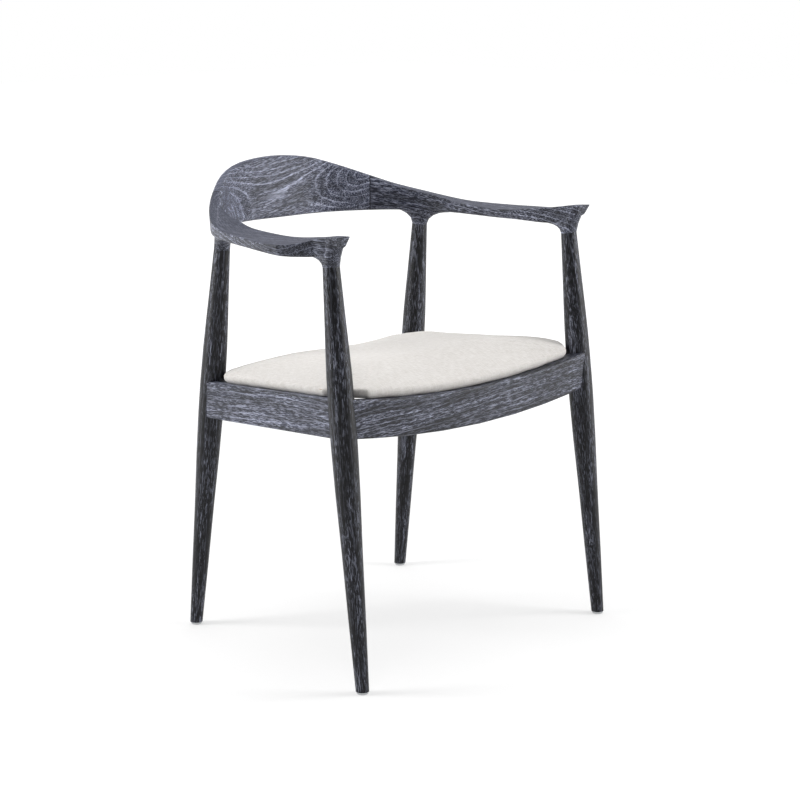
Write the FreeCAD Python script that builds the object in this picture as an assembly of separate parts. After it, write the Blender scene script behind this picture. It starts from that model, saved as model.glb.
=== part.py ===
import FreeCAD, Part
import math
import os

Vector = FreeCAD.Vector
up = Vector(0, 0, 1)
quarter_turn = 90.0
sides = {"left": 1, "right": -1}
ends = ("front", "back")
rails = ("cross", "side")

# The sitter faces -Y, so left is +X. The floor is z = 0.

# Horseshoe of back rest and arms
arm_top_height = 676.5
back_rise = 85.5
back_board_height = 103.0
back_reach = 264.0
arm_half_span = 322.0
arm_reach = 210.0
arm_width = 80.0
arm_thickness = 16.0
back_top_round = 6.5
under_round = 7.0
band_length = 24.0

# Rings where the legs meet the arms: in from the arm's outer top arris, back along the arm
# from the station over the leg, and down from its underside
front_ring_inset = 17.3
front_ring_setback = 30.1
front_ring_gap = 30.2
back_ring_inset = 19.5
back_ring_setback = 10.7
back_ring_gap = 23.5

# How far each foot stands out from its ring
front_splay_across = 8.2
front_splay_along = -72.0
back_splay_across = 16.2
back_splay_along = 65.2

# Turned legs
leg_foot_radius = 10.35
leg_belly_radius = 20.55
leg_ring_radius = 13.0
leg_tenon_radius = 8.5
leg_tenon_length = 30.0
leg_overrun = 6.0

# Flared bosses carved under the arms, one over each leg
boss_sink = 0.5
back_boss_run = 42.0
back_boss_spread = 1.0
front_boss_height = 15.0
front_boss_run = 15.0
front_boss_spread = 0.5
boss_overrun = 5.0

# Neck that rises from each front leg into the small horn at the end of the arm
neck_cover = 4.7
neck_lean = 17.0
neck_flare = 3.0

# Dowelled joint between the back rest and each arm
joint_dowel_radius = 4.0
joint_dowel_length = 36.0
joint_dowel_spacing = 24.0

# Seat frame
rail_height = 59.5
rail_thickness = 26.0
rail_round = 3.5
rail_setback = 0.6
front_rail_top = 450.5
back_rail_top = 420.5
rail_tops = {"front": front_rail_top, "back": back_rail_top}
front_rail_sag = 18.0
back_rail_sag = 12.0
front_rail_bow = 14.0
rail_tenon_thickness = 9.0
rail_tenon_height = 40.0
rail_tenon_length = 17.0
rail_tenon_root = 8.0
mortise_margin = 3.0

# Corner blocks and their screws
block_leg = 62.0
block_thickness = 22.0
block_drop = 14.0
screw_radius = 2.0
screw_head_radius = 4.0
screw_head_height = 2.4
block_screw_length = 34.0
block_screw_place = 36.0
block_screw_seat = 14.0
seat_screw_place = 24.0
seat_screw_bite = 6.0

# Upholstered seat
pad_setback = 13.0
pad_corner = 50.0
pad_corner_bulge = 3.0
pad_edge_height = 20.0
pad_crown = 30.0
pad_bulge = 2.0
board_thickness = 9.0
cover_thickness = 1.2
cover_turn_in = 24.0
dust_cover_thickness = 0.6
dust_cover_setback = 16.0

# Glides under the feet
glide_thickness = 4.0
glide_radius = 9.0
glide_chamfer = 1.0
glide_pin_radius = 1.4
glide_pin_length = 14.0

# Fits
wood_clearance = 0.15
soft_clearance = 0.3
end_clearance = 0.6
block_clearance = 1.5
overrun = 8.0

# How far a ring's curves are pulled towards the corners round it, as in a circle
corner_pull_share = 0.5523
# Part of a full turn that one side of a turned pin or dowel takes, and of a screw
facet_share = 0.05
screw_facet_share = 0.125

# Stations of the horseshoe, from the middle of the back to the tip of an arm, all as shares.
# Outer top arris: across the half span, forward to back, and up from the arm to the back's top;
# then the turn of the section's plane from a quarter turn, and its rake.
back_place_shares = (
    (0.0, 1.0, 1.0, 1.0, 0.0),
    (0.231, 0.992, 0.93, 0.884, 0.0),
    (0.40, 0.951, 0.759, 0.671, 0.0),
    (0.559, 0.867, 0.511, 0.52, 0.0),
)
arm_place_shares = (
    (0.667, 0.794, 0.333, 0.482, 0.0),
    (0.768, 0.71, 0.185, 0.418, 0.0),
    (0.829, 0.648, 0.095, 0.311, 0.0),
    (0.882, 0.554, 0.021, 0.171, 0.0),
    (0.941, 0.403, 0.0, 0.167, 0.0),
    (0.983, 0.301, 0.0, 0.156, 0.0),
    (0.997, 0.205, 0.008, 0.1, 0.0),
    (0.95, 0.1455, 0.047, 0.044, 0.0),
    (0.8975, 0.1055, 0.117, 0.011, 0.0),
    (0.8866, 0.059, 0.175, 0.0, 0.1),
    (0.893, 0.0, 0.205, 0.0, 0.42),
)
# Its section: top width, inner bottom corner and outer bottom corner as shares of the arm's
# width; rise of the inner arris as a share of the arm's thickness; depth as a share of the
# back board's height; then the share of the rounding on top and of the rounding underneath.
back_section_shares = (
    (0.21, 0.45, 0.19, 0.0, 1.0, 1.0, 0.7),
    (0.21, 0.44, 0.17, 0.0, 0.939, 1.0, 0.7),
    (0.20, 0.425, 0.15, 0.0, 0.79, 1.0, 0.7),
    (0.19, 0.378, 0.079, 0.0, 0.575, 0.9, 0.8),
)
arm_section_shares = (
    (0.25, 0.39, 0.04, -0.15, 0.422, 0.6, 0.9),
    (0.42, 0.46, 0.025, 0.0, 0.299, 0.35, 1.0),
    (0.56, 0.56, 0.04, 0.2, 0.224, 0.25, 1.0),
    (0.68, 0.65, 0.05, 0.12, 0.163, 0.25, 1.0),
    (0.89, 0.84, 0.056, 0.0, 0.149, 0.25, 1.0),
    (1.0, 0.95, 0.0625, 0.15, 0.149, 0.25, 1.0),
    (0.97, 0.92, 0.0625, 0.4, 0.168, 0.25, 1.0),
    (0.71, 0.675, 0.05, 0.35, 0.2, 0.25, 1.0),
    (0.45, 0.43, 0.025, 0.12, 0.25, 0.25, 1.0),
    (0.37, 0.34, 0.04, 0.03, 0.25, 0.25, 1.0),
    (0.345, 0.30, 0.08, 0.0, 0.17, 0.25, 0.9),
)
station_place_shares = back_place_shares + arm_place_shares
station_section_shares = back_section_shares + arm_section_shares
joint_row = len(back_place_shares) - 1

# Profile of a leg: height on the leg, and the part that each named radius has there
leg_profile_shares = (
    (0.0, 1.0, 0.0, 0.0),
    (0.165, 0.71, 0.29, 0.0),
    (0.33, 0.45, 0.55, 0.0),
    (0.47, 0.16, 0.84, 0.0),
    (0.58, 0.02, 0.98, 0.0),
    (0.65, 0.0, 1.0, 0.0),
    (0.75, 0.0, 0.86, 0.14),
    (0.81, 0.0, 0.67, 0.33),
    (0.87, 0.0, 0.44, 0.56),
    (1.0, 0.0, 0.0, 1.0),
)
# Neck: rise, lean, and the length and width of its ring against the leg's
neck_shares = ((0.0, 0.0, 1.0, 1.0), (0.33, 0.25, 1.05, 1.0), (0.76, 0.72, 1.22, 1.02), (1.0, 1.0, 1.25, 1.03))
# Flare of a boss as shares of a quarter turn
boss_turn_shares = (0.0, 0.25, 0.48, 0.68, 0.84, 0.96)
# Sections of the rails across the seat, from its middle to a leg, and of the side rails
cross_station_shares = (0.0, 0.3, 0.58, 0.79, 0.86, 0.9, 1.0)
side_station_shares = (0.0, 0.085, 0.115, 0.16, 0.5, 0.84, 0.885, 0.915, 1.0)
# Rings of the pad from the middle of its underside round to the middle of its top:
# scale of the outline, and the part of the edge height, of the crown and of the bulge
pad_ring_shares = (
    (0.03, 0.0, 0.0, 0.0),
    (0.5, 0.0, 0.0, 0.0),
    (0.985, 0.0, 0.0, 0.0),
    (1.0, 0.25, 0.0, 0.6),
    (1.0, 0.62, 0.0, 1.0),
    (0.985, 1.0, 0.04, 0.0),
    (0.94, 1.0, 0.22, 0.0),
    (0.82, 1.0, 0.54, 0.0),
    (0.6, 1.0, 0.84, 0.0),
    (0.3, 1.0, 0.98, 0.0),
    (0.03, 1.0, 1.0, 0.0),
)
slab_ring_shares = (0.03, 0.5)
side_step_shares = (0.0, 0.17, 0.33, 0.5, 0.67, 0.83)
corner_step_shares = (0.0, 0.33, 0.67)
slab_reach_share = 1.1
middle_share = 0.5


def between(start, end, share):
    return start + (end - start) * share


def quarter_curve(start, corner, end):
    """Curve from start to end, round the corner between them as a circle is."""
    curve = Part.BezierCurve()
    pulls = [between(start, corner, corner_pull_share), between(end, corner, corner_pull_share)]
    curve.setPoles([start, pulls[0], pulls[1], end])
    return curve.toShape()


def rounded_outline(corners, radii):
    """Closed wire through the corners of a polygon, each rounded by its own radius."""
    count = len(corners)
    arcs, starts, finishes = [], [], []
    for index, corner in enumerate(corners):
        to_last = (corners[index - 1] - corner).normalize()
        to_next = (corners[(index + 1) % count] - corner).normalize()
        half_angle = to_last.getAngle(to_next) / 2
        reach = radii[index] / math.tan(half_angle)
        inward = (to_last + to_next).normalize()
        middle = corner + inward * (radii[index] / math.sin(half_angle) - radii[index])
        starts.append(corner + to_last * reach)
        finishes.append(corner + to_next * reach)
        arcs.append(Part.Arc(starts[index], middle, finishes[index]).toShape())
    edges = []
    for index, arc in enumerate(arcs):
        edges.append(arc)
        edges.append(Part.makeLine(finishes[index], starts[(index + 1) % count]))
    return Part.Wire(edges)


def ring_wire(centre, axis, along, length, width):
    """Round or oval ring square to an axis, with its length lying along one direction."""
    across = axis.cross(along).normalize()
    level = across.cross(axis).normalize()
    points = [level * length, across * width, level * -length, across * -width]
    edges = []
    for index, start in enumerate(points):
        end = points[(index + 1) % len(points)]
        edges.append(quarter_curve(centre + start, centre + start + end, centre + end))
    return Part.Wire(edges)


def banded(wires):
    """Solid of straight bands from wire to wire."""
    return Part.makeLoft(wires, True, True)


def facet_wire(centre, axis, radius, share):
    """Ring of a few straight sides square to an axis."""
    across = axis.cross(Vector(axis.z, axis.x, axis.y)).normalize()
    level = axis.cross(across).normalize()
    points = []
    for facet in range(round(1 / share)):
        angle = math.tau * facet * share
        points.append(centre + across * (radius * math.cos(angle)) + level * (radius * math.sin(angle)))
    return Part.makePolygon(points + points[:1])


def bar(start, end, radius, share=facet_share):
    """Round bar between two points, or the hole for one."""
    return Part.Face(facet_wire(start, (end - start).normalize(), radius, share)).extrude(end - start)


# Horseshoe

def station_plane(places, side):
    """Outer top point and inward direction of a station."""
    x_share, y_share, z_share, turn_share, rake_share = places
    point = Vector(
        side * x_share * arm_half_span,
        between(-arm_reach, back_reach, y_share),
        arm_top_height + back_rise * z_share,
    )
    turn = math.radians(quarter_turn * turn_share)
    inward = Vector(-side * math.cos(turn), -math.sin(turn), 0)
    return point, inward


def station_wire(places, section, side):
    point, inward = station_plane(places, side)
    top, inner, outer, rise, depth, top_round, low_round = section
    down = Vector(0, places[-1], -1)
    low = down * (depth * back_board_height)
    corners = [
        point,
        point + inward * (top * arm_width) - down * (rise * arm_thickness),
        point + inward * (inner * arm_width) + low,
        point + inward * (outer * arm_width) + low,
    ]
    radii = [top_round * back_top_round] * 2 + [low_round * under_round] * 2
    return rounded_outline(corners, radii)


def smooth(before, start, end, after, share):
    """Value between start and end on a smooth curve through all four."""
    first = between(before, start, 1 + share)
    middle = between(start, end, share)
    last = between(end, after, share - 1)
    return between(between(first, middle, (1 + share) / 2), between(middle, last, share / 2), share)


def smooth_row(rows, index, share):
    """Row at a share of the way from one row to the next; the rows have one more at each end."""
    columns = zip(rows[index], rows[index + 1], rows[index + 2], rows[index + 3])
    return [smooth(*column, share) for column in columns]


def mirrored_place(places):
    x_share, y_share, z_share, turn_share, rake_share = places
    return (-x_share, y_share, z_share, 2 - turn_share, rake_share)


def beyond(rows):
    return tuple(2 * last - before for last, before in zip(rows[-1], rows[-2]))


def horseshoe_rows(first, last):
    """Stations from first to last with as many between them as the band length asks."""
    place_rows = (mirrored_place(station_place_shares[1]),) + station_place_shares
    place_rows += (beyond(station_place_shares),)
    section_rows = (station_section_shares[1],) + station_section_shares + (beyond(station_section_shares),)
    rows = []
    for index in range(first, last):
        start, inward = station_plane(station_place_shares[index], 1)
        end, inward = station_plane(station_place_shares[index + 1], 1)
        bands = math.ceil(start.distanceToPoint(end) / band_length)
        for band in range(bands):
            share = band / bands
            rows.append((smooth_row(place_rows, index, share), smooth_row(section_rows, index, share)))
    rows.append((station_place_shares[last], station_section_shares[last]))
    return rows


def joint_plane(side):
    """Outer top point, inward and forward directions of the joint between back rest and arm."""
    point, inward = station_plane(station_place_shares[joint_row], side)
    return point, inward, up.cross(inward) * side


def boss(ring, axis, along, height, run, spread, drift):
    """Concave flare from a leg's ring up into the arm, longer along the arm than across it."""
    wires = []
    for turn_share in boss_turn_shares:
        angle = math.radians(quarter_turn * turn_share)
        opening = 1 - math.cos(angle)
        centre = ring + axis * (height * math.sin(angle)) + along * (drift * opening)
        length = leg_ring_radius + run * opening
        width = leg_ring_radius + spread * opening
        wires.append(ring_wire(centre, axis, along, length, width))
    wires.append(ring_wire(centre + axis * boss_overrun, axis, along, length, width))
    return banded(wires)


def neck(ring, axis, along, outward, height):
    wires = []
    for rise, lean, length, width in neck_shares:
        centre = ring + axis * (height * rise) - along * (neck_lean * lean) + outward * (neck_flare * lean)
        wires.append(ring_wire(centre, axis, along, leg_ring_radius * length, leg_ring_radius * width))
    return banded(wires)


# Legs

def arm_over(end, side):
    """Outer top point of the arm over a leg, the ways in and back along the arm, and its depth there."""
    row = len(station_place_shares) - 1 if end == "front" else joint_row + 2
    point, inward = station_plane(station_place_shares[row], side)
    top, inner, outer, rise, depth, top_round, low_round = station_section_shares[row]
    return point, inward, inward.cross(up) * side, depth * back_board_height


def leg_line(end, side):
    """Foot, ring and unit axis of a leg."""
    point, inward, backward, depth = arm_over(end, side)
    if end == "front":
        ring = point + inward * front_ring_inset + backward * front_ring_setback - up * (depth + front_ring_gap)
        foot = Vector(ring.x + side * front_splay_across, ring.y + front_splay_along, 0)
    else:
        ring = point + inward * back_ring_inset + backward * back_ring_setback - up * (depth + back_ring_gap)
        foot = Vector(ring.x + side * back_splay_across, ring.y + back_splay_along, 0)
    return foot, ring, (ring - foot).normalize()


def leg_place(end, side, height):
    foot, ring, axis = leg_line(end, side)
    return between(foot, ring, height / ring.z)


def leg_radius(height_share):
    """Radius of a leg at a share of its height."""
    radii = []
    for height, foot, belly, ring in leg_profile_shares:
        radii.append((height, foot * leg_foot_radius + belly * leg_belly_radius + ring * leg_ring_radius))
    pairs = [pair for pair in zip(radii, radii[1:]) if pair[0][0] <= height_share]
    low, high = pairs[-1]
    return between(low[1], high[1], (height_share - low[0]) / (high[0] - low[0]))


def leg_ring_heights(end, side):
    """Heights of the rings of a leg above its glide, two of them just past its mortises."""
    foot, ring, axis = leg_line(end, side)
    middle = rail_tops[end] - rail_height / 2
    reach = rail_tenon_height / 2 + mortise_margin
    zone = [middle - reach, middle + reach]
    heights = [share[0] * ring.z for share in leg_profile_shares]
    return sorted(zone + [height for height in heights if height > overrun and not zone[0] < height < zone[1]])


def leg_turning(end, side, growth):
    """The turned leg without its tenon, grown all round by a clearance."""
    foot, ring, axis = leg_line(end, side)
    along = Vector(1, 1, 0)
    radius = leg_radius(0) + growth
    wires = [ring_wire(leg_place(end, side, glide_thickness), up, along, radius, radius)]
    for height in leg_ring_heights(end, side):
        radius = leg_radius(height / ring.z) + growth
        wires.append(ring_wire(leg_place(end, side, height), axis, along, radius, radius))
    return banded(wires)


def leg(end, side):
    foot, ring, axis = leg_line(end, side)
    tenon = bar(ring - axis * leg_overrun, ring + axis * leg_tenon_length, leg_tenon_radius)
    solid = leg_turning(end, side, 0).fuse(tenon)
    solid = solid.cut(glide_pin(end, side, wood_clearance))
    for mortise in (cross_tenon(end, side, wood_clearance), side_tenon(end, side, wood_clearance)):
        solid = solid.cut(mortise)
    return solid


def tenon_socket(end, side):
    foot, ring, axis = leg_line(end, side)
    reach = leg_tenon_length + end_clearance
    return bar(ring - axis * leg_overrun, ring + axis * reach, leg_tenon_radius + wood_clearance)


def glide_pin(end, side, growth):
    centre = leg_place(end, side, glide_thickness)
    return bar(centre, centre + up * (glide_pin_length + growth), glide_pin_radius + growth)


def glide(end, side):
    """Steel glide with its pin; its rim is eased at the floor."""
    centre = leg_place(end, side, glide_thickness)
    base = Vector(centre.x, centre.y, 0)
    wires = [facet_wire(base, up, glide_radius - glide_chamfer, facet_share)]
    for height in (glide_chamfer, glide_thickness):
        wires.append(facet_wire(base + up * height, up, glide_radius, facet_share))
    return banded(wires).fuse(glide_pin(end, side, 0))


# Arms and back rest

def arm_bosses(side):
    foot, ring, axis = leg_line("back", side)
    point, inward, backward, depth = arm_over("back", side)
    height = back_ring_gap + boss_sink
    shapes = [boss(ring, axis, backward, height, back_boss_run, back_boss_spread, 0)]
    foot, ring, axis = leg_line("front", side)
    point, inward, backward, depth = arm_over("front", side)
    shapes.append(neck(ring, axis, backward, inward * -1, front_ring_gap + depth - neck_cover))
    shapes.append(boss(ring, axis, backward, front_boss_height, front_boss_run, front_boss_spread, front_boss_run))
    return shapes


def arm(side):
    rows = horseshoe_rows(joint_row, len(station_place_shares) - 1)
    solid = banded([station_wire(places, section, side) for places, section in rows])
    for shape in arm_bosses(side):
        solid = solid.fuse(shape)
    for end in ends:
        solid = solid.cut(tenon_socket(end, side))
    return solid.cut(dowels(side, wood_clearance, end_clearance))


def back_rest():
    rows = horseshoe_rows(0, joint_row)
    wires = [station_wire(places, section, sides["right"]) for places, section in reversed(rows[1:])]
    wires += [station_wire(places, section, sides["left"]) for places, section in rows]
    solid = banded(wires)
    for side in sides.values():
        solid = solid.cut(dowels(side, wood_clearance, end_clearance))
    return solid


def dowels(side, growth, end_growth):
    """Two dowels across the joint, one above the other, grown by the fit's clearances."""
    point, inward, forward = joint_plane(side)
    top, inner, outer, rise, depth, top_round, low_round = station_section_shares[joint_row]
    half = joint_dowel_length / 2 + end_growth
    shapes = []
    for step in (-1, 1):
        drop = depth * back_board_height / 2 + step * joint_dowel_spacing / 2
        low_share = drop / (depth * back_board_height)
        across = (between(0, outer, low_share) + between(top, inner, low_share)) / 2
        centre = point + inward * (arm_width * across) - up * drop
        shapes.append(bar(centre - forward * half, centre + forward * half, joint_dowel_radius + growth))
    return Part.makeCompound(shapes)


# Seat frame

def rail_corner(end, side):
    """Where the centre lines of two rails cross; their outer top edges run just inside the leg."""
    foot, ring, axis = leg_line(end, side)
    middle = leg_place(end, side, rail_tops[end] - rail_height / 2)
    lean = abs(leg_place(end, side, rail_tops[end]).y - middle.y)
    outward = leg_radius(rail_tops[end] / ring.z) - lean - rail_setback - rail_thickness / 2
    return middle + Vector(side * outward, -outward if end == "front" else outward, 0)


front_corner = rail_corner("front", 1)
back_corner = rail_corner("back", 1)
seat_depth = back_corner.y - front_corner.y


def seat_point(across, along, height):
    """Point over the dished seat frame: across from -1 to 1, along from 0 at the front to 1."""
    dish = 1 - across ** 2
    x = across * between(front_corner.x, back_corner.x, along)
    y = between(front_corner.y, back_corner.y, along) - dish * between(front_rail_bow, 0, along)
    top = between(front_rail_top, back_rail_top, along)
    sag = between(front_rail_sag, back_rail_sag, along)
    return Vector(x, y, top - sag * dish + height)


def cross_rail_wire(end, across):
    """Section of the front or back rail; its top follows the dish of the seat."""
    along = ends.index(end)
    half = rail_thickness / 2
    centre = seat_point(across, along, 0)
    fore = seat_point(across, along - half / seat_depth, 0)
    aft = seat_point(across, along + half / seat_depth, 0)
    corners = [
        Vector(centre.x, centre.y - half, fore.z),
        Vector(centre.x, centre.y + half, aft.z),
        Vector(centre.x, centre.y + half, centre.z - rail_height),
        Vector(centre.x, centre.y - half, centre.z - rail_height),
    ]
    return rounded_outline(corners, [rail_round] * len(corners))


def side_rail_wire(side, along):
    half = rail_thickness / 2
    centre = seat_point(side, along, 0)
    reach = half / abs(centre.x)
    corners = [
        Vector(centre.x + side * half, centre.y, seat_point(1 + reach, along, 0).z),
        Vector(centre.x - side * half, centre.y, seat_point(1 - reach, along, 0).z),
        Vector(centre.x - side * half, centre.y, centre.z - rail_height),
        Vector(centre.x + side * half, centre.y, centre.z - rail_height),
    ]
    return rounded_outline(corners, [rail_round] * len(corners))


def tenon_box(end, side, direction, growth):
    """Tenon that runs into a leg along a direction, grown by the fit's clearances."""
    corner = rail_corner(end, side)
    middle = leg_place(end, side, corner.z)
    reach = (leg_belly_radius - rail_tenon_length - (end_clearance if growth else 0))
    root = leg_belly_radius + rail_tenon_root
    half = rail_tenon_thickness / 2 + growth
    rise = rail_tenon_height / 2 + growth
    if direction.x:
        near = Vector(middle.x + direction.x * reach, corner.y - half, corner.z - rise)
        far = Vector(middle.x + direction.x * root, corner.y + half, corner.z + rise)
    else:
        near = Vector(corner.x - half, middle.y + direction.y * reach, corner.z - rise)
        far = Vector(corner.x + half, middle.y + direction.y * root, corner.z + rise)
    low = Vector(min(near.x, far.x), min(near.y, far.y), near.z)
    return Part.makeBox(abs(far.x - near.x), abs(far.y - near.y), far.z - near.z, low)


def cross_tenon(end, side, growth):
    return tenon_box(end, side, Vector(-side, 0, 0), growth)


def side_tenon(end, side, growth):
    return tenon_box(end, side, Vector(0, 1 if end == "front" else -1, 0), growth)


def cross_rail(end):
    shares = [-share for share in reversed(cross_station_shares[1:])] + list(cross_station_shares)
    solid = banded([cross_rail_wire(end, share) for share in shares])
    for side in sides.values():
        solid = solid.cut(leg_turning(end, side, wood_clearance))
    for side in sides.values():
        solid = solid.fuse(cross_tenon(end, side, 0))
        solid = solid.cut(block_screws(end, side, "cross", wood_clearance))
    return solid


def side_rail(side):
    solid = banded([side_rail_wire(side, share) for share in side_station_shares])
    for end in ends:
        solid = solid.cut(leg_turning(end, side, wood_clearance))
    for end in ends:
        solid = solid.fuse(side_tenon(end, side, 0))
        solid = solid.cut(block_screws(end, side, "side", wood_clearance))
    return solid


# Corner blocks

def block_frame(end, side):
    """Inner corner of two rails at the block's top, with the directions of its two edges."""
    along = ends.index(end)
    half = rail_thickness / 2 + wood_clearance
    corner = seat_point(side, along, 0)
    inward = Vector(0, 1 if end == "front" else -1, 0)
    near_cross = seat_point(side * (1 - half / abs(corner.x)), along, 0)
    near_side = seat_point(side, along + inward.y * half / seat_depth, 0)
    origin = Vector(near_side.x - side * half, near_cross.y + inward.y * half, 0)
    far_cross = seat_point(side * (1 - block_leg / abs(corner.x)), along, 0) + inward * half
    far_side = seat_point(side, along + inward.y * block_leg / seat_depth, 0) - Vector(side * half, 0, 0)
    cross_edge = Vector(far_cross.x - origin.x, far_cross.y - origin.y, 0).normalize()
    side_edge = Vector(far_side.x - origin.x, far_side.y - origin.y, 0).normalize()
    place = origin + cross_edge * seat_screw_place + side_edge * seat_screw_place
    across = place.x / between(front_corner.x, back_corner.x, (place.y - front_corner.y) / seat_depth)
    seat = seat_point(across, (place.y - front_corner.y) / seat_depth, 0)
    origin.z = seat.z - block_drop
    return origin, cross_edge, side_edge


def block_screw_line(end, side, rail):
    """Seat of a screw's head, and the direction in which it runs into its rail."""
    origin, cross_edge, side_edge = block_frame(end, side)
    edge, other = (cross_edge, side_edge) if rail == "cross" else (side_edge, cross_edge)
    into = up.cross(edge)
    into = into if into.dot(other) < 0 else into * -1
    middle = origin - up * (block_thickness / 2)
    return middle + edge * block_screw_place - into * block_screw_seat, into


def screw(head_seat, into, length, growth):
    """Screw with its head behind the seat and its shank running on, grown by a clearance."""
    head = bar(head_seat, head_seat - into * screw_head_height, screw_head_radius + growth, screw_facet_share)
    shank = bar(head_seat, head_seat + into * (length + growth), screw_radius + growth, screw_facet_share)
    return head.fuse(shank)


def block_screws(end, side, rail, growth):
    head_seat, into = block_screw_line(end, side, rail)
    return screw(head_seat, into, block_screw_length, growth)


def screw_access(head_seat, into, depth):
    return bar(head_seat, head_seat - into * depth, screw_head_radius + wood_clearance, screw_facet_share)


def leg_notch(end, side, low, high):
    """Room for a leg between two heights."""
    start, finish = leg_place(end, side, low), leg_place(end, side, high)
    return bar(start, finish, leg_belly_radius + block_clearance)


def seat_screw(end, side, growth):
    """Screw up through a corner block into the seat's board."""
    origin, cross_edge, side_edge = block_frame(end, side)
    place = origin + cross_edge * seat_screw_place + side_edge * seat_screw_place - up * block_thickness
    length = block_thickness + block_drop + soft_clearance + cover_thickness + seat_screw_bite
    return screw(place, up, length, growth)


def corner_block(end, side):
    origin, cross_edge, side_edge = block_frame(end, side)
    low = origin - up * block_thickness
    corners = [low, low + cross_edge * block_leg, low + side_edge * block_leg, low]
    solid = Part.Face(Part.makePolygon(corners)).extrude(up * block_thickness)
    solid = solid.cut(leg_notch(end, side, low.z - overrun, origin.z + overrun))
    for rail in rails:
        head_seat, into = block_screw_line(end, side, rail)
        solid = solid.cut(screw(head_seat, into, block_screw_length, wood_clearance))
        solid = solid.cut(screw_access(head_seat, into, block_leg))
    return solid.cut(seat_screw(end, side, wood_clearance))


# Upholstered seat

def ring_point(place, scale, height, level):
    """Point of the outline over the dished frame, or level with the seat's middle."""
    across, along = place
    point = seat_point(across * scale, between(middle_share, along, scale), soft_clearance + height)
    if level:
        point.z = seat_point(0, middle_share, soft_clearance + height).z
    return point


def cut_corner(side, end, edge):
    """Three places of a cut corner, in shares of the seat, in the order of the outline."""
    limit = between(front_corner.x, back_corner.x, ends.index(end))
    across = 1 - edge / limit
    cut_across = across - pad_corner / limit
    along = between(edge, seat_depth - edge, ends.index(end)) / seat_depth
    step = between(pad_corner, -pad_corner, ends.index(end)) / seat_depth
    bulge = (1 + pad_corner_bulge / pad_corner) * middle_share
    places = [
        (side * cut_across, along),
        (side * between(cut_across, across, bulge), along + step * (1 - bulge)),
        (side * across, along + step),
    ]
    starts_on_side = (end == "front") == (side < 0)
    return places[::-1] if starts_on_side else places


def eased_corner(start, middle, end):
    """Places along the bow from start through middle to end, without the last."""
    places = []
    for share in corner_step_shares:
        bow = [middle[axis] * 2 - (start[axis] + end[axis]) / 2 for axis in range(2)]
        first = [between(start[axis], bow[axis], share) for axis in range(2)]
        last = [between(bow[axis], end[axis], share) for axis in range(2)]
        places.append([between(first[axis], last[axis], share) for axis in range(2)])
    return places


def pad_ring(scale, inset, height, level):
    """Ring round the seat, of four bowed sides and four eased corners."""
    edge = pad_setback - rail_thickness / 2 + inset
    cuts = [cut_corner(side, end, edge) for side, end in ((-1, "front"), (1, "front"), (1, "back"), (-1, "back"))]
    places = []
    for index, cut in enumerate(cuts):
        places += eased_corner(*cut)
        start, finish = cut[-1], cuts[(index + 1) % len(cuts)][0]
        for share in side_step_shares:
            places.append([between(start[axis], finish[axis], share) for axis in range(2)])
    return [ring_point(place, scale, height, level) for place in places]


def flat_face(*points):
    return Part.Face(Part.makePolygon(list(points) + [points[0]]))


def seat_form(rows):
    """Closed form through rings, each given by scale, inset and height; it starts and ends level."""
    last = len(rows) - 1
    rings = [pad_ring(*row, index in (0, last)) for index, row in enumerate(rows)]
    faces = [flat_face(*rings[0]), flat_face(*rings[last])]
    for ring, following in zip(rings, rings[1:]):
        for index, point in enumerate(ring):
            faces.append(flat_face(ring[index - 1], point, following[index]))
            faces.append(flat_face(ring[index - 1], following[index], following[index - 1]))
    return Part.makeSolid(Part.makeShell(faces))


def pad_form(inset):
    """The whole cushion with its drawn-in sides and crown, made smaller by an inset."""
    rows = []
    for scale, edge_share, crown_share, bulge_share in pad_ring_shares:
        height = edge_share * pad_edge_height + crown_share * pad_crown + inset * (1 - 2 * edge_share)
        rows.append((scale, inset - bulge_share * pad_bulge, height))
    return seat_form(rows)


def seat_slab(rim_scale, inset, low, high):
    """Sheet laid over the dished frame between two heights."""
    rows = [(scale, 0, low) for scale in slab_ring_shares] + [(rim_scale, inset, low)]
    rows += [(rim_scale, inset, high)] + [(scale, 0, high) for scale in reversed(slab_ring_shares)]
    return seat_form(rows)


def drilled(solid):
    """The solid with a hole for each screw that holds the seat."""
    for side in sides.values():
        for end in ends:
            solid = solid.cut(seat_screw(end, side, wood_clearance))
    return solid


def seat_parts():
    whole = pad_form(0)
    core = pad_form(cover_thickness)
    slab = seat_slab(slab_reach_share, 0, -overrun, cover_thickness + board_thickness)
    mouth = seat_slab(1, cover_turn_in, -overrun, cover_thickness + board_thickness / 2)
    low = -soft_clearance - dust_cover_thickness
    return {
        "seat_board": drilled(core.common(slab)),
        "seat_foam": core.cut(slab),
        "seat_cover": drilled(whole.cut(core).cut(mouth)),
        "seat_dust_cover": drilled(seat_slab(1, dust_cover_setback, low, -soft_clearance)),
    }


def export(name, shape):
    shape.exportStep("parts/" + name + ".step")


os.makedirs("parts", exist_ok=True)
export("back_rest", back_rest())
for name, side in sides.items():
    export("arm_" + name, arm(side))
    export("back_joint_dowels_" + name, dowels(side, 0, 0))
    export("side_rail_" + name, side_rail(side))
    for end in ends:
        export(end + "_leg_" + name, leg(end, side))
        export("foot_glide_" + end + "_" + name, glide(end, side))
        export("corner_block_" + end + "_" + name, corner_block(end, side))
for end in ends:
    export(end + "_rail", cross_rail(end))
for name, shape in seat_parts().items():
    export(name, shape)
corners = [(end, side) for end in ends for side in sides.values()]
export("block_screws", Part.makeCompound([block_screws(*corner, rail, 0) for corner in corners for rail in rails]))
export("seat_screws", Part.makeCompound([seat_screw(*corner, 0) for corner in corners]))
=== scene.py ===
import math
import bmesh
import bpy
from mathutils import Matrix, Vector
from mathutils.bvhtree import BVHTree
from mathutils.kdtree import KDTree


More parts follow.
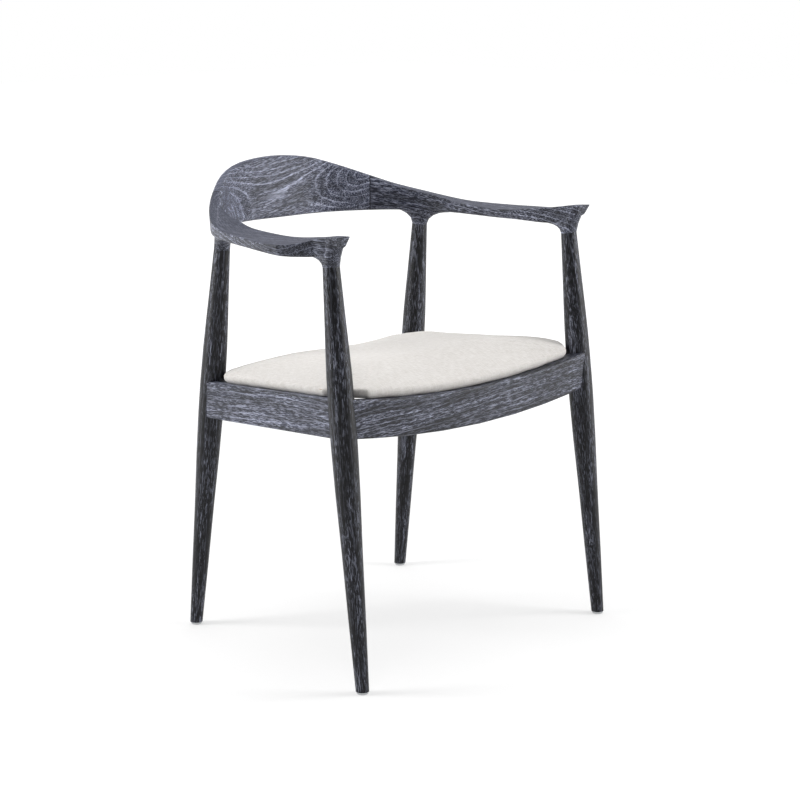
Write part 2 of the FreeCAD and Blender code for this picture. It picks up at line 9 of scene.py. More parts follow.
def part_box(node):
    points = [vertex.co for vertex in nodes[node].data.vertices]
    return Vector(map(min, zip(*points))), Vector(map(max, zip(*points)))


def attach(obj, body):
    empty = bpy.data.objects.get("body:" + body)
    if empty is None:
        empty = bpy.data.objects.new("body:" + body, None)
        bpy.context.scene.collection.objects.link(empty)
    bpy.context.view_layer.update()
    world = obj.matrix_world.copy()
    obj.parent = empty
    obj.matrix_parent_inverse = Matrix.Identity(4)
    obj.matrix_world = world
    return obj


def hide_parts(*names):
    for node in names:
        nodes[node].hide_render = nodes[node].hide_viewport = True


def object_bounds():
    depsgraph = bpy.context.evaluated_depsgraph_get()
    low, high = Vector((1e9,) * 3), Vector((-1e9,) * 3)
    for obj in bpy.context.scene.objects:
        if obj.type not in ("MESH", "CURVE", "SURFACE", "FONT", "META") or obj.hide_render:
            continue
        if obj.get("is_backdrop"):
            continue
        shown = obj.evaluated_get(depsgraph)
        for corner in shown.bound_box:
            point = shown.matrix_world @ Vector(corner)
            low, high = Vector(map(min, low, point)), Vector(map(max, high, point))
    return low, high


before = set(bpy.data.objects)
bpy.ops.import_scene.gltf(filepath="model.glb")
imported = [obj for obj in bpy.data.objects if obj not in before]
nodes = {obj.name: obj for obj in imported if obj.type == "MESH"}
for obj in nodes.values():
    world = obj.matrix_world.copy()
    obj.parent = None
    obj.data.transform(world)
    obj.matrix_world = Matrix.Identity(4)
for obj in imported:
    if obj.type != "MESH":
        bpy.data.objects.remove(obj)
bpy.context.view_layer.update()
print("frame loaded with", len(nodes), "nodes")


# small helpers

def mm(value):
    return value / 1000


def perMm(*sizes):
    return [1 / mm(size) for size in sizes]


def linearColour(hexCode):
    values = [int(hexCode[place:place + 2], 16) / 255 for place in (1, 3, 5)]
    return [v / 12.92 if v <= 0.04045 else ((v + 0.055) / 1.055) ** 2.4 for v in values] + [1.0]


# settings go to the input of that name or number, or else to the node itself; the wanted output comes back
def addNode(tree, kind, settings=None, links=None, wanted=0):
    node = tree.nodes.new("ShaderNode" + kind)
    for name, value in (settings or {}).items():
        if isinstance(name, int) or name in node.inputs:
            node.inputs[name].default_value = value
        else:
            setattr(node, name, value)
    for name, socket in (links or {}).items():
        tree.links.new(socket, node.inputs[name])
    if node.outputs:
        return node.outputs[wanted]


def newMaterial(name):
    material = bpy.data.materials.new(name)
    material.use_nodes = True
    material.node_tree.nodes.clear()
    return material, material.node_tree


def giveMaterial(piece, material):
    slots = piece.data.materials
    if not len(slots):
        slots.append(material)
    for place in range(len(slots)):
        slots[place] = material


def turnToX(direction):
    return Vector(direction).normalized().rotation_difference(Vector((1, 0, 0))).to_euler()


# oak, wire-brushed open, stained black and rubbed with white wax
# the eye gets near-black wood with crisp bluish flecks, where chalky wax fills the brushed-out pores

oak = {
    "stain": "#07070a",      # dense summer wood under black stain
    "brushed": "#4f5367",    # where the wire brush thinned the stain
    "wax": "#cdd2e8",        # white wax left in the pores
    "joint": "#0b0c10",      # glue line
    "jointWidth": (1.0, 2.8),   # mm, its dark middle and its soft edge
    "jointDepth": 0.85,
    "ringWidth": 7.5,        # mm, growth rings of a fast-grown oak
    "springWood": 0.5,       # share of a ring that is soft spring wood
    "ringClose": 0.9,        # share where the next ring begins to show
    "ringLineAt": 0.1,       # share where the fine pale line lies, then its half width and soft edge
    "ringLine": (0.025, 0.08),
    "relief": 0.3,           # mm
    "reliefStrength": 0.4,
    "roughness": 0.4,
    "duller": 0.3,           # more roughness where wax lies or hands have rubbed
    "ior": 1.5,
    "specular": 0.25,        # dry, open surface under a thin wax
}

# patterns along the grain: size in mm along and across it, and the levels of noise that they start and end at
fadeMarks = {"size": (140.0, 30.0), "levels": (0.32, 0.6), "detail": 1.0, "rough": 0.55}    # of the rings
fibreMarks = {"size": (36.0, 1.6), "levels": (0.38, 0.64), "detail": 4.0, "rough": 0.65}
streakMarks = {"size": (130.0, 9.0), "levels": (0.38, 0.62), "detail": 2.0, "rough": 0.55}
# real pores are 0.3 mm wide: drawn as coarse as they need to show
poreMarks = {"size": (13.0, 1.1), "levels": (0.55, 0.59), "detail": 2.5, "rough": 0.6}
poreLevelDrop = (0.04, 0.03)    # paler pieces have more of them
# slow swells that the rings follow, and how deep they are in mm
swellMarks = {"size": (250.0, 90.9), "detail": 2.0, "rough": 0.45, "depth": 50.0}

# a pair with a plus in its note is the value of an unbrushed piece, and what a wholly pale piece adds to it
brushing = {
    "waxInHardWood": 0.45,            # share of the pores filled, against 1 in spring wood
    "waxBetweenStreaks": (0.05, 0.4),    # plus: share filled where the brush bit least, and where most
    "waxInStreaks": (0.6, 0.4),
    "lineAtWeakest": (0.0, 0.15),     # plus: strength of the ring lines
    "lineAtStrongest": (0.2, 0.65),
    "springLoss": 0.3,                # stain lost in spring wood alone
    "leastLoss": 0.22,                # stain lost everywhere on a wholly pale piece
    "mostLoss": (0.05, 0.9),          # plus
    "underside": (-0.35, -0.02),      # height of the normal, where less stain is lost: painted shade underneath
    "undersideShadeLoss": 0.3,
    "topWearAndSheen": (0.75, 0.95),          # height of the normal, where hands rub the wax away and the top is painted paler, partly wear and partly painted sheen
}


def forPale(name, pale):
    start, added = brushing[name]
    return start + added * pale


# a straight piece: x along its grain, measured from the pith of its log
def straightGrain(tree, coordinates, grain, pith):
    moved = addNode(tree, "VectorMath", {"operation": "SUBTRACT", 1: pith}, {0: coordinates})
    return addNode(tree, "Mapping", {"Rotation": turnToX(grain)}, {"Vector": moved})


roundPiece = {
    "ahead": 0.5,      # the arms run on forward at this share of their length, as if still curving
    "radius": 0.3,     # metres, for the length along the curve
}


# the horseshoe: x round its curve, then the distance from its middle, then the height
def roundGrain(tree, coordinates, climb, pith):
    across = addNode(tree, "SeparateXYZ", None, {0: coordinates}, "X")
    back = addNode(tree, "SeparateXYZ", None, {0: coordinates}, "Y")
    up = addNode(tree, "SeparateXYZ", None, {0: coordinates}, "Z")
    behind = addNode(tree, "Math", {"operation": "MAXIMUM", 1: 0.0}, {0: back})
    before = addNode(tree, "Math", {"operation": "MINIMUM", 1: 0.0}, {0: back})
    before = addNode(tree, "Math", {"operation": "MULTIPLY", 1: roundPiece["ahead"]}, {0: before})
    depth = addNode(tree, "Math", {"operation": "ADD"}, {0: behind, 1: before})
    turn = addNode(tree, "Math", {"operation": "ARCTAN2"}, {0: across, 1: depth})
    turn = addNode(tree, "Math", {"operation": "MULTIPLY", 1: roundPiece["radius"]}, {0: turn})
    flat = addNode(tree, "CombineXYZ", None, {0: across, 1: depth})
    distance = addNode(tree, "VectorMath", {"operation": "LENGTH"}, {0: flat}, "Value")
    climbed = addNode(tree, "Math", {"operation": "MULTIPLY", 1: climb}, {0: turn})
    height = addNode(tree, "Math", {"operation": "ADD"}, {0: up, 1: climbed})
    bent = addNode(tree, "CombineXYZ", None, {0: turn, 1: distance, 2: height})
    return addNode(tree, "VectorMath", {"operation": "SUBTRACT", 1: pith}, {0: bent})


# marks stretched along the grain, from 0 to 1
def grainMarks(tree, along, marks, levels=None):
    low, high = levels or marks["levels"]
    length, width = perMm(*marks["size"])
    at = addNode(tree, "VectorMath", {"operation": "MULTIPLY", 1: (length, width, width)}, {0: along})
    settings = {"Scale": 1.0, "Detail": marks["detail"], "Roughness": marks["rough"]}
    noise = addNode(tree, "TexNoise", settings, {"Vector": at})
    return addNode(tree, "MapRange", {"From Min": low, "From Max": high}, {"Value": noise})


# the log's own coordinates, pushed about so that the rings swell and pinch along it
def swollenGrain(tree, log, wander):
    length, width = perMm(*swellMarks["size"])
    at = addNode(tree, "VectorMath", {"operation": "MULTIPLY", 1: (length, width, width)}, {0: log})
    settings = {"Scale": 1.0, "Detail": swellMarks["detail"], "Roughness": swellMarks["rough"]}
    swell = addNode(tree, "TexNoise", settings, {"Vector": at}, "Color")
    depth = mm(swellMarks["depth"]) * wander
    settings = {"operation": "MULTIPLY_ADD", 1: (0.0, depth, depth)}
    return addNode(tree, "VectorMath", settings, {0: swell, 2: log})


# how far a point is into soft spring wood, and the fine line where each ring begins
def growthRings(tree, along):
    around = addNode(tree, "VectorMath", {"operation": "MULTIPLY", 1: (0.0, 1.0, 1.0)}, {0: along})
    radius = addNode(tree, "VectorMath", {"operation": "LENGTH"}, {0: around}, "Value")
    count = addNode(tree, "Math", {"operation": "DIVIDE", 1: mm(oak["ringWidth"])}, {0: radius})
    share = addNode(tree, "Math", {"operation": "FRACT"}, {0: count})
    fall = {"interpolation_type": "SMOOTHSTEP", "From Max": oak["springWood"], "To Min": 1.0, "To Max": 0.0}
    opening = addNode(tree, "MapRange", fall, {"Value": share})
    closing = addNode(tree, "MapRange", {"From Min": oak["ringClose"]}, {"Value": share})
    spring = addNode(tree, "Math", {"operation": "MAXIMUM"}, {0: opening, 1: closing})
    fade = grainMarks(tree, along, fadeMarks)
    spring = addNode(tree, "Math", {"operation": "MULTIPLY"}, {0: spring, 1: fade})
    off = addNode(tree, "Math", {"operation": "SUBTRACT", 1: oak["ringLineAt"]}, {0: share})
    off = addNode(tree, "Math", {"operation": "ABSOLUTE"}, {0: off})
    low, high = oak["ringLine"]
    fall = {"From Min": low, "From Max": high, "To Min": 1.0, "To Max": 0.0}
    line = addNode(tree, "MapRange", fall, {"Value": off})
    line = addNode(tree, "Math", {"operation": "MULTIPLY"}, {0: line, 1: fade})
    return spring, line


# white wax in the pores and along the ring lines; both hold more where the brush bit deeper
def waxLeft(tree, log, pale, spring, ringLine, fibres, streaks):
    levels = [level - drop * pale for level, drop in zip(poreMarks["levels"], poreLevelDrop)]
    pores = grainMarks(tree, log, poreMarks, levels)
    inSpring = addNode(tree, "MapRange", {"To Min": brushing["waxInHardWood"]}, {"Value": spring})
    rise = {"To Min": forPale("waxBetweenStreaks", pale), "To Max": forPale("waxInStreaks", pale)}
    inStreaks = addNode(tree, "MapRange", rise, {"Value": streaks})
    here = addNode(tree, "Math", {"operation": "MULTIPLY"}, {0: inSpring, 1: inStreaks})
    pores = addNode(tree, "Math", {"operation": "MULTIPLY"}, {0: pores, 1: here})
    rise = {"To Min": forPale("lineAtWeakest", pale), "To Max": forPale("lineAtStrongest", pale)}
    broken = addNode(tree, "MapRange", rise, {"Value": fibres})
    lines = addNode(tree, "Math", {"operation": "MULTIPLY"}, {0: ringLine, 1: broken})
    return addNode(tree, "Math", {"operation": "MAXIMUM"}, {0: pores, 1: lines})


# how thin the black stain is: thinnest in soft wood, kept darker underneath as painted shade, and paler on
# top, partly from wear and partly as painted sheen
def stainLoss(tree, pale, spring, fibres, streaks, upward, rubbedAndSheen):
    bare = addNode(tree, "Math", {"operation": "MULTIPLY"}, {0: streaks, 1: fibres})
    settings = {"operation": "MULTIPLY_ADD", 1: brushing["springLoss"], "use_clamp": True}
    thin = addNode(tree, "Math", settings, {0: spring, 2: bare})
    # faces turned down keep more stain and stay darker: painted shade underneath
    low, high = brushing["underside"]
    rise = {"From Min": low, "From Max": high, "To Min": brushing["undersideShadeLoss"]}
    under = addNode(tree, "MapRange", rise, {"Value": upward})
    thin = addNode(tree, "Math", {"operation": "MULTIPLY"}, {0: thin, 1: under})
    thin = addNode(tree, "Math", {"operation": "MAXIMUM"}, {0: thin, 1: rubbedAndSheen})
    rise = {"To Min": brushing["leastLoss"] * pale * pale, "To Max": forPale("mostLoss", pale)}
    return addNode(tree, "MapRange", rise, {"Value": thin})


# a thin dark line where two glued pieces meet
def glueLine(tree, coordinates, coloured, point, normal):
    middle, soft = (mm(width) / 2 for width in oak["jointWidth"])
    away = addNode(tree, "VectorMath", {"operation": "SUBTRACT", 1: point}, {0: coordinates})
    depth = addNode(tree, "VectorMath", {"operation": "DOT_PRODUCT", 1: normal}, {0: away}, "Value")
    depth = addNode(tree, "Math", {"operation": "ABSOLUTE"}, {0: depth})
    fall = {"From Min": middle, "From Max": soft, "To Min": oak["jointDepth"], "To Max": 0.0}
    line = addNode(tree, "MapRange", fall, {"Value": depth})
    dark = {"data_type": "RGBA", 7: linearColour(oak["joint"])}
    return addNode(tree, "Mix", dark, {0: line, 6: coloured}, 2)


# wander is how far the rings swell, pale how much stain is gone; the last share says how far the top is
# rubbed smooth and painted paler, partly wear and partly painted sheen
def brushedOak(name, layGrain, run, pith, wander, pale, wornAndSheen, joints=()):
    material, tree = newMaterial(name)
    coordinates = addNode(tree, "TexCoord", None, None, "Object")
    log = layGrain(tree, coordinates, run, pith)
    along = swollenGrain(tree, log, wander)
    spring, ringLine = growthRings(tree, along)
    fibres = grainMarks(tree, along, fibreMarks)
    streaks = grainMarks(tree, along, streakMarks)
    wax = waxLeft(tree, log, pale, spring, ringLine, fibres, streaks)

    normal = addNode(tree, "NewGeometry", None, None, "Normal")
    upward = addNode(tree, "SeparateXYZ", None, {0: normal}, "Z")
    # faces turned up lose wax and stain: partly wear from hands, partly painted sheen from the light above
    low, high = brushing["topWearAndSheen"]
    rise = {"interpolation_type": "SMOOTHSTEP", "From Min": low, "From Max": high, "To Max": wornAndSheen}
    rubbedAndSheen = addNode(tree, "MapRange", rise, {"Value": upward})
    kept = addNode(tree, "Math", {"operation": "SUBTRACT", 0: 1.0}, {1: rubbedAndSheen})
    wax = addNode(tree, "Math", {"operation": "MULTIPLY"}, {0: wax, 1: kept})
    thin = stainLoss(tree, pale, spring, fibres, streaks, upward, rubbedAndSheen)

    tones = {"data_type": "RGBA", 6: linearColour(oak["stain"]), 7: linearColour(oak["brushed"])}
    coloured = addNode(tree, "Mix", tones, {0: thin}, 2)
    tones = {"data_type": "RGBA", 7: linearColour(oak["wax"])}
    coloured = addNode(tree, "Mix", tones, {0: wax, 6: coloured}, 2)
    for point, across in joints:
        coloured = glueLine(tree, coordinates, coloured, point, across)

    dull = addNode(tree, "Math", {"operation": "MAXIMUM"}, {0: wax, 1: rubbedAndSheen})
    rise = {"To Min": oak["roughness"], "To Max": oak["roughness"] + oak["duller"]}
    roughness = addNode(tree, "MapRange", rise, {"Value": dull})
    height = addNode(tree, "Math", {"operation": "MULTIPLY_ADD", 1: -1.0}, {0: wax, 2: fibres})
    settings = {"Strength": oak["reliefStrength"], "Distance": mm(oak["relief"])}
    relief = addNode(tree, "Bump", settings, {"Height": height})
    surface = addNode(tree, "BsdfPrincipled", {"IOR": oak["ior"], "Specular IOR Level": oak["specular"]},
                      {"Base Color": coloured, "Roughness": roughness, "Normal": relief})
    addNode(tree, "OutputMaterial", None, {"Surface": surface})
    return material


# for the left side, in metres: the way the grain runs (an arm's is its climb), and the pith of its log;
# a leg's pith is counted from the leg's own middle
# pale is partly painted light: the back rest is set palest for the sheen on it, and the side rails paler than
# the cross rails for the light on their sides
backOak = {"run": (1, 0.03, 0.15), "pith": (0, 0.208, 0.716), "wander": 0.65, "pale": 1.0, "wornAndSheen": 0.6}
armOak = {"run": 0.12, "pith": (0.6, 0.24, 0.64), "wander": 0.5, "pale": 0.68, "wornAndSheen": 0.65}
sideRailOak = {"run": (0.11, -0.95, 0.08), "pith": (0.19, 0, 0.5), "wander": 0.5, "pale": 0.72, "wornAndSheen": 0.0}
crossRailOak = {
    "front": {"run": (1, 0, 0.06), "pith": (0, -0.2, 0.32), "wander": 0.5, "pale": 0.42, "wornAndSheen": 0.0},
    "back": {"run": (1, 0, -0.04), "pith": (0, 0.22, 0.3), "wander": 0.5, "pale": 0.42, "wornAndSheen": 0.0},
}
legOak = {
    "front": {"run": (-0.012, 0.11, 1), "pith": (0.03, 0.022, 0), "wander": 0.3, "pale": 0.03, "wornAndSheen": 0.0},
    "back": {"run": (-0.025, -0.1, 1), "pith": (0.03, 0.022, 0), "wander": 0.3, "pale": 0.03, "wornAndSheen": 0.0},
}
# where back rest and arm are glued
backJoint = {"point": (0.18, 0.201, 0.7202), "normal": (0.729, -0.6845, 0)}


def sided(vector, side):
    return Vector(vector) * Vector((side, 1, 1))


joints = [(sided(backJoint["point"], side), sided(backJoint["normal"], side)) for side in (1, -1)]
giveMaterial(nodes["back_rest"], brushedOak("brushedOakBack", straightGrain, joints=joints, **backOak))
for end, piece in crossRailOak.items():
    giveMaterial(nodes[end + "_rail"], brushedOak("brushedOakRail" + end.title(), straightGrain, **piece))
for sideName, side in (("left", 1), ("right", -1)):
    piece = {**armOak, "run": side * armOak["run"], "pith": sided(armOak["pith"], side), "joints": joints}
    armMaterial = brushedOak("brushedOakArm" + sideName.title(), roundGrain, **piece)
    giveMaterial(nodes["arm_" + sideName], armMaterial)
    run, pith = sided(sideRailOak["run"], side), sided(sideRailOak["pith"], side)
    piece = {**sideRailOak, "run": run, "pith": pith}
    railMaterial = brushedOak("brushedOakSideRail" + sideName.title(), straightGrain, **piece)
    giveMaterial(nodes["side_rail_" + sideName], railMaterial)
    for end, piece in legOak.items():
        low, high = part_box(end + "_leg_" + sideName)
        pith = (low + high) / 2 + sided(piece["pith"], side)
        piece = {**piece, "run": sided(piece["run"], side), "pith": pith}
        legMaterial = brushedOak("brushedOakLeg" + end.title() + sideName.title(), straightGrain, **piece)
        giveMaterial(nodes[end + "_leg_" + sideName], legMaterial)
print("oak done")


# plain materials, sizes in mm

steel = {
    "colour": "#b9bbbd",
    "roughness": (0.26, 0.46),
    "mottle": 1.11,
    "detail": 3.0,
    "relief": 0.05,
    "reliefStrength": 0.15,
}


# steel, zinc-plated and tumbled: grey metal with a soft, slightly mottled shine
def platedSteel(name):
    material, tree = newMaterial(name)
    coordinates = addNode(tree, "TexCoord", None, None, "Object")
    settings = {"Scale": perMm(steel["mottle"])[0], "Detail": steel["detail"]}
    mottle = addNode(tree, "TexNoise", settings, {"Vector": coordinates})
    smooth, rough = steel["roughness"]
    roughness = addNode(tree, "MapRange", {"To Min": smooth, "To Max": rough}, {"Value": mottle})
    settings = {"Strength": steel["reliefStrength"], "Distance": mm(steel["relief"])}
    relief = addNode(tree, "Bump", settings, {"Height": mottle})
    settings = {"Base Color": linearColour(steel["colour"]), "Metallic": 1.0}
    surface = addNode(tree, "BsdfPrincipled", settings, {"Roughness": roughness, "Normal": relief})
    addNode(tree, "OutputMaterial", None, {"Surface": surface})
    return material


beech = {
    "colour": "#c69c6d",
    "dark": "#a97c4e",
    "roughness": 0.62,
    "fleck": (16.7, 1.11),
    "levels": (0.42, 0.7),
    "detail": 3.0,
    "relief": 0.2,
    "reliefStrength": 0.2,
}


# beech, sawn and left raw: warm pink-brown wood with small darker flecks along the grain
def sawnBeech(name, grain):
    material, tree = newMaterial(name)
    coordinates = addNode(tree, "TexCoord", None, None, "Object")
    length, width = perMm(*beech["fleck"])
    along = addNode(tree, "Mapping", {"Rotation": turnToX(grain), "Scale": (length, width, width)},
                    {"Vector": coordinates})
    fleck = addNode(tree, "TexNoise", {"Scale": 1.0, "Detail": beech["detail"]}, {"Vector": along})
    low, high = beech["levels"]
    share = addNode(tree, "MapRange", {"From Min": low, "From Max": high}, {"Value": fleck})
    tones = {6: linearColour(beech["colour"]), 7: linearColour(beech["dark"])}
    coloured = addNode(tree, "Mix", {"data_type": "RGBA", **tones}, {0: share}, 2)
    settings = {"Strength": beech["reliefStrength"], "Distance": mm(beech["relief"])}
    relief = addNode(tree, "Bump", settings, {"Height": fleck})
    links = {"Base Color": coloured, "Normal": relief}
    surface = addNode(tree, "BsdfPrincipled", {"Roughness": beech["roughness"]}, links)
    addNode(tree, "OutputMaterial", None, {"Surface": surface})
    return material


plywood = {"face": "#cda978", "edge": "#8d6a42", "roughness": 0.65, "ply": 1.5}


# birch plywood, sanded: pale faces, and plies as thin bands round the edge
def sandedPlywood(name):
    material, tree = newMaterial(name)
    coordinates = addNode(tree, "TexCoord", None, None, "Object")
    height = addNode(tree, "SeparateXYZ", None, {0: coordinates}, "Z")
    plies = addNode(tree, "Math", {"operation": "PINGPONG", 1: mm(plywood["ply"])}, {0: height})
    band = addNode(tree, "MapRange", {"From Max": mm(plywood["ply"])}, {"Value": plies})
    tones = {6: linearColour(plywood["face"]), 7: linearColour(plywood["edge"])}
    coloured = addNode(tree, "Mix", {"data_type": "RGBA", **tones}, {0: band}, 2)
    surface = addNode(tree, "BsdfPrincipled", {"Roughness": plywood["roughness"]}, {"Base Color": coloured})
    addNode(tree, "OutputMaterial", None, {"Surface": surface})
    return material


dustCloth = {
    "low": "#1b1b1d",
    "high": "#2b2b2e",
    "highAt": 0.7,
    "roughness": 0.9,
    "sheen": 0.2,
    "dot": 2.38,
    "relief": 0.15,
    "reliefStrength": 0.3,
}


# black spun-bonded cloth: matt, soft and slightly pressed in small dots
def spunCloth(name):
    material, tree = newMaterial(name)
    coordinates = addNode(tree, "TexCoord", None, None, "Object")
    dots = addNode(tree, "TexVoronoi", {"Scale": perMm(dustCloth["dot"])[0]}, {"Vector": coordinates})
    settings = {"Strength": dustCloth["reliefStrength"], "Distance": mm(dustCloth["relief"])}
    relief = addNode(tree, "Bump", settings, {"Height": dots})
    share = addNode(tree, "MapRange", {"From Max": dustCloth["highAt"]}, {"Value": dots})
    tones = {6: linearColour(dustCloth["low"]), 7: linearColour(dustCloth["high"])}
    coloured = addNode(tree, "Mix", {"data_type": "RGBA", **tones}, {0: share}, 2)
    settings = {"Roughness": dustCloth["roughness"], "Sheen Weight": dustCloth["sheen"]}
    surface = addNode(tree, "BsdfPrincipled", settings, {"Base Color": coloured, "Normal": relief})
    addNode(tree, "OutputMaterial", None, {"Surface": surface})
    return material


steelMaterial = platedSteel("platedSteel")
beechMaterial = sawnBeech("sawnBeech", (1, 0.2, 0))
dowelBeech = sawnBeech("turnedBeechDowels", backJoint["normal"])
for name, piece in nodes.items():
    if name.startswith("foot_glide") or "screws" in name:
        giveMaterial(piece, steelMaterial)
    if name.startswith("corner_block"):
        giveMaterial(piece, beechMaterial)
    if name.startswith("back_joint_dowels"):
        giveMaterial(piece, dowelBeech)
giveMaterial(nodes["seat_board"], sandedPlywood("sandedPlywood"))
giveMaterial(nodes["seat_dust_cover"], spunCloth("spunBlackCloth"))
print("plain materials done")


# the seat pad: foam in a linen cover over the board

linen = {
    "pale": "#d8d5d2",
    "shade": "#c3bfba",
    "thread": 1.1,          # mm between threads, drawn about twice as coarse as the real linen
    "slub": 12.5,           # mm, length of a thick place in a thread
    "levels": (0.75, 1.25),
    "roughness": 0.92,
    "sheen": 0.15,
    "sheenRoughness": 0.5,
    "unevenness": (2.0, 0.55),    # detail and roughness of the noise
    "relief": 0.5,          # mm
    "reliefStrength": 0.4,
}


# linen, plain woven and washed: off-white, matt, uneven threads both ways
def wovenLinen(name):
    material, tree = newMaterial(name)
    coordinates = addNode(tree, "TexCoord", None, None, "Object")
    thread, slub = perMm(linen["thread"], linen["slub"])
    detail, rough = linen["unevenness"]
    uneven = {"Scale": 1.0, "Detail": detail, "Roughness": rough}
    threads = []
    for scale in ((thread, slub, slub), (slub, thread, thread)):
        at = addNode(tree, "VectorMath", {"operation": "MULTIPLY", 1: scale}, {0: coordinates})
        threads.append(addNode(tree, "TexNoise", uneven, {"Vector": at}))
    weave = addNode(tree, "Math", {"operation": "ADD"}, {0: threads[0], 1: threads[1]})
    low, high = linen["levels"]
    share = addNode(tree, "MapRange", {"From Min": low, "From Max": high}, {"Value": weave})
    tones = {6: linearColour(linen["shade"]), 7: linearColour(linen["pale"])}
    coloured = addNode(tree, "Mix", {"data_type": "RGBA", **tones}, {0: share}, 2)
    settings = {"Strength": linen["reliefStrength"], "Distance": mm(linen["relief"])}
    relief = addNode(tree, "Bump", settings, {"Height": weave})
    settings = {"Roughness": linen["roughness"], "Sheen Weight": linen["sheen"],
                "Sheen Roughness": linen["sheenRoughness"]}
    surface = addNode(tree, "BsdfPrincipled", settings, {"Base Color": coloured, "Normal": relief})
    addNode(tree, "OutputMaterial", None, {"Surface": surface})
    return material


seatPad = {
    "voxel": 4.0,           # mm
    "reach": 3.0,           # mm that a point of the coarse form may be off
    "underside": -0.6,      # a point that faces down more than this is on the underside
    "firm": 10.5,           # mm above the underside, where the cloth lies tight round the board
    "rim": 14.0,            # mm above that over which the shrinking comes in
    "shrink": 3.0,          # mm taken off before the cloth swells out again
    "soften": 14,           # rounds of smoothing, and how far each goes
    "softening": 0.5,
    "proud": 0.3,           # mm that the cloth stands off the board
    "pinned": 0.02,         # points less free than this don't move in the cloth
    "quality": 5,
    "mass": 0.3,
    "stretch": 15.0,
    "bend": 0.5,
    "pressure": 4.0,
    "steps": 20,
    "cap": 4.5,             # mm that a point may move
    "fill": 0.8,
}


def largestIsland(form):
    unseen, best = set(form.verts), []
    while unseen:
        start = unseen.pop()
        island, waiting = [start], [start]
        while waiting:
            for edge in waiting.pop().link_edges:
                for vert in edge.verts:
                    if vert in unseen:
                        unseen.remove(vert)
                        island.append(vert)
                        waiting.append(vert)
        if len(island) > len(best):
            best = island
    keep = set(best)
    bmesh.ops.delete(form, geom=[v for v in form.verts if v not in keep], context="VERTS")


def meshWithModifiers(piece):
    seen = piece.evaluated_get(bpy.context.evaluated_depsgraph_get())
    return bpy.data.meshes.new_from_object(seen)


# the cover, foam and board of the frame as one mesh, and that mesh again in even small faces
def joinedPad():
    joined = bmesh.new()
    for name in ("seat_cover", "seat_foam", "seat_board"):
        joined.from_mesh(nodes[name].data)
    start = bpy.data.meshes.new("padStart")
    joined.to_mesh(start)
    outside = BVHTree.FromBMesh(joined)
    joined.free()
    helper = bpy.data.objects.new("padHelper", start)
    bpy.context.scene.collection.objects.link(helper)
    remesh = helper.modifiers.new("remesh", "REMESH")
    remesh.mode = "VOXEL"
    remesh.voxel_size = mm(seatPad["voxel"])
    bpy.context.view_layer.update()
    mesh = meshWithModifiers(helper)
    bpy.data.objects.remove(helper)
    return mesh, outside


# every point goes back onto the outside of the frame's own pad
def ontoCad(form, outside):
    far = mm(seatPad["reach"])
    for vert in form.verts:
        start = vert.co + vert.normal * far
        place, normal, index, distance = outside.ray_cast(start, -vert.normal, 2 * far)
        if place is not None:
            vert.co = place


# how free each point is: 0 round the board, 1 above the rim
def freeShares(form):
    under = [vert for vert in form.verts if vert.normal.z < seatPad["underside"]]
    near = KDTree(len(under))
    for place, vert in enumerate(under):
        near.insert(vert.co, place)
    near.balance()
    shares = {}
    for vert in form.verts:
        above = near.find(vert.co)[2] - mm(seatPad["firm"])
        share = max(0.0, min(1.0, above / mm(seatPad["rim"])))
        shares[vert] = share * share * (3 - 2 * share)
    return shares


def settle(pad, pinned):
    group = pad.vertex_groups.new(name="pinned")
    group.add(pinned, 1.0, "REPLACE")
    before = [v.co.copy() for v in pad.data.vertices]
    cloth = pad.modifiers.new("cloth", "CLOTH")
    settings = cloth.settings
    settings.quality = seatPad["quality"]
    settings.mass = seatPad["mass"]
    settings.tension_stiffness = settings.compression_stiffness = seatPad["stretch"]
    settings.bending_stiffness = seatPad["bend"]
    settings.use_pressure = True
    settings.uniform_pressure_force = seatPad["pressure"]
    settings.vertex_group_mass = "pinned"
    settings.effector_weights.gravity = 0
    cloth.collision_settings.use_collision = False
    cloth.point_cache.frame_start = 1
    cloth.point_cache.frame_end = seatPad["steps"]
    for step in range(1, seatPad["steps"] + 1):
        bpy.context.scene.frame_set(step)
    mesh = meshWithModifiers(pad)
    pad.modifiers.clear()
    cap = mm(seatPad["cap"])
    for vert, old in zip(mesh.vertices, before):
        move = vert.co - old
        if move.length > cap:
            vert.co = old + move * (cap / move.length)
    pad.data = mesh
    print("pad swelled")


def makeSeatPad():
    mesh, outside = joinedPad()
    form = bmesh.new()
    form.from_mesh(mesh)
    largestIsland(form)
    form.normal_update()
    ontoCad(form, outside)
    form.normal_update()
    shares = freeShares(form)
    pinned = [vert.index for vert, share in shares.items() if share < seatPad["pinned"]]
    loose = [vert for vert, share in shares.items() if share > 0]
    for turn in range(seatPad["soften"]):
        bmesh.ops.smooth_vert(form, verts=loose, factor=seatPad["softening"],
                              use_axis_x=True, use_axis_y=True, use_axis_z=True)
    form.normal_update()
    proud, shrink = mm(seatPad["proud"]), mm(seatPad["shrink"])
    for vert, share in shares.items():
        vert.co += vert.normal * (proud - share * (shrink + proud))
    form.to_mesh(mesh)
    form.free()
    for face in mesh.polygons:
        face.use_smooth = True

    pad = bpy.data.objects.new("seatPad", mesh)
    bpy.context.scene.collection.objects.link(pad)
    giveMaterial(pad, wovenLinen("wovenLinen"))
    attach(pad, "root")
    settle(pad, pinned)
    smoothAgain = pad.modifiers.new("smoothAgain", "SUBSURF")
    smoothAgain.levels = smoothAgain.render_levels = 1
    pad.data = meshWithModifiers(pad)
    pad.modifiers.clear()
    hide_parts("seat_cover", "seat_foam")


makeSeatPad()
print("seat pad done")


# floor, light and camera

floorPaper = {
    "colour": "#b4b4b4",
    "reach": 12.0,                # metres each way
    "glow": (0.5, 0.9),           # of the paper under the chair, and far from it
    "glowEdge": (0.4, 3.0),       # metres from the chair's middle
}


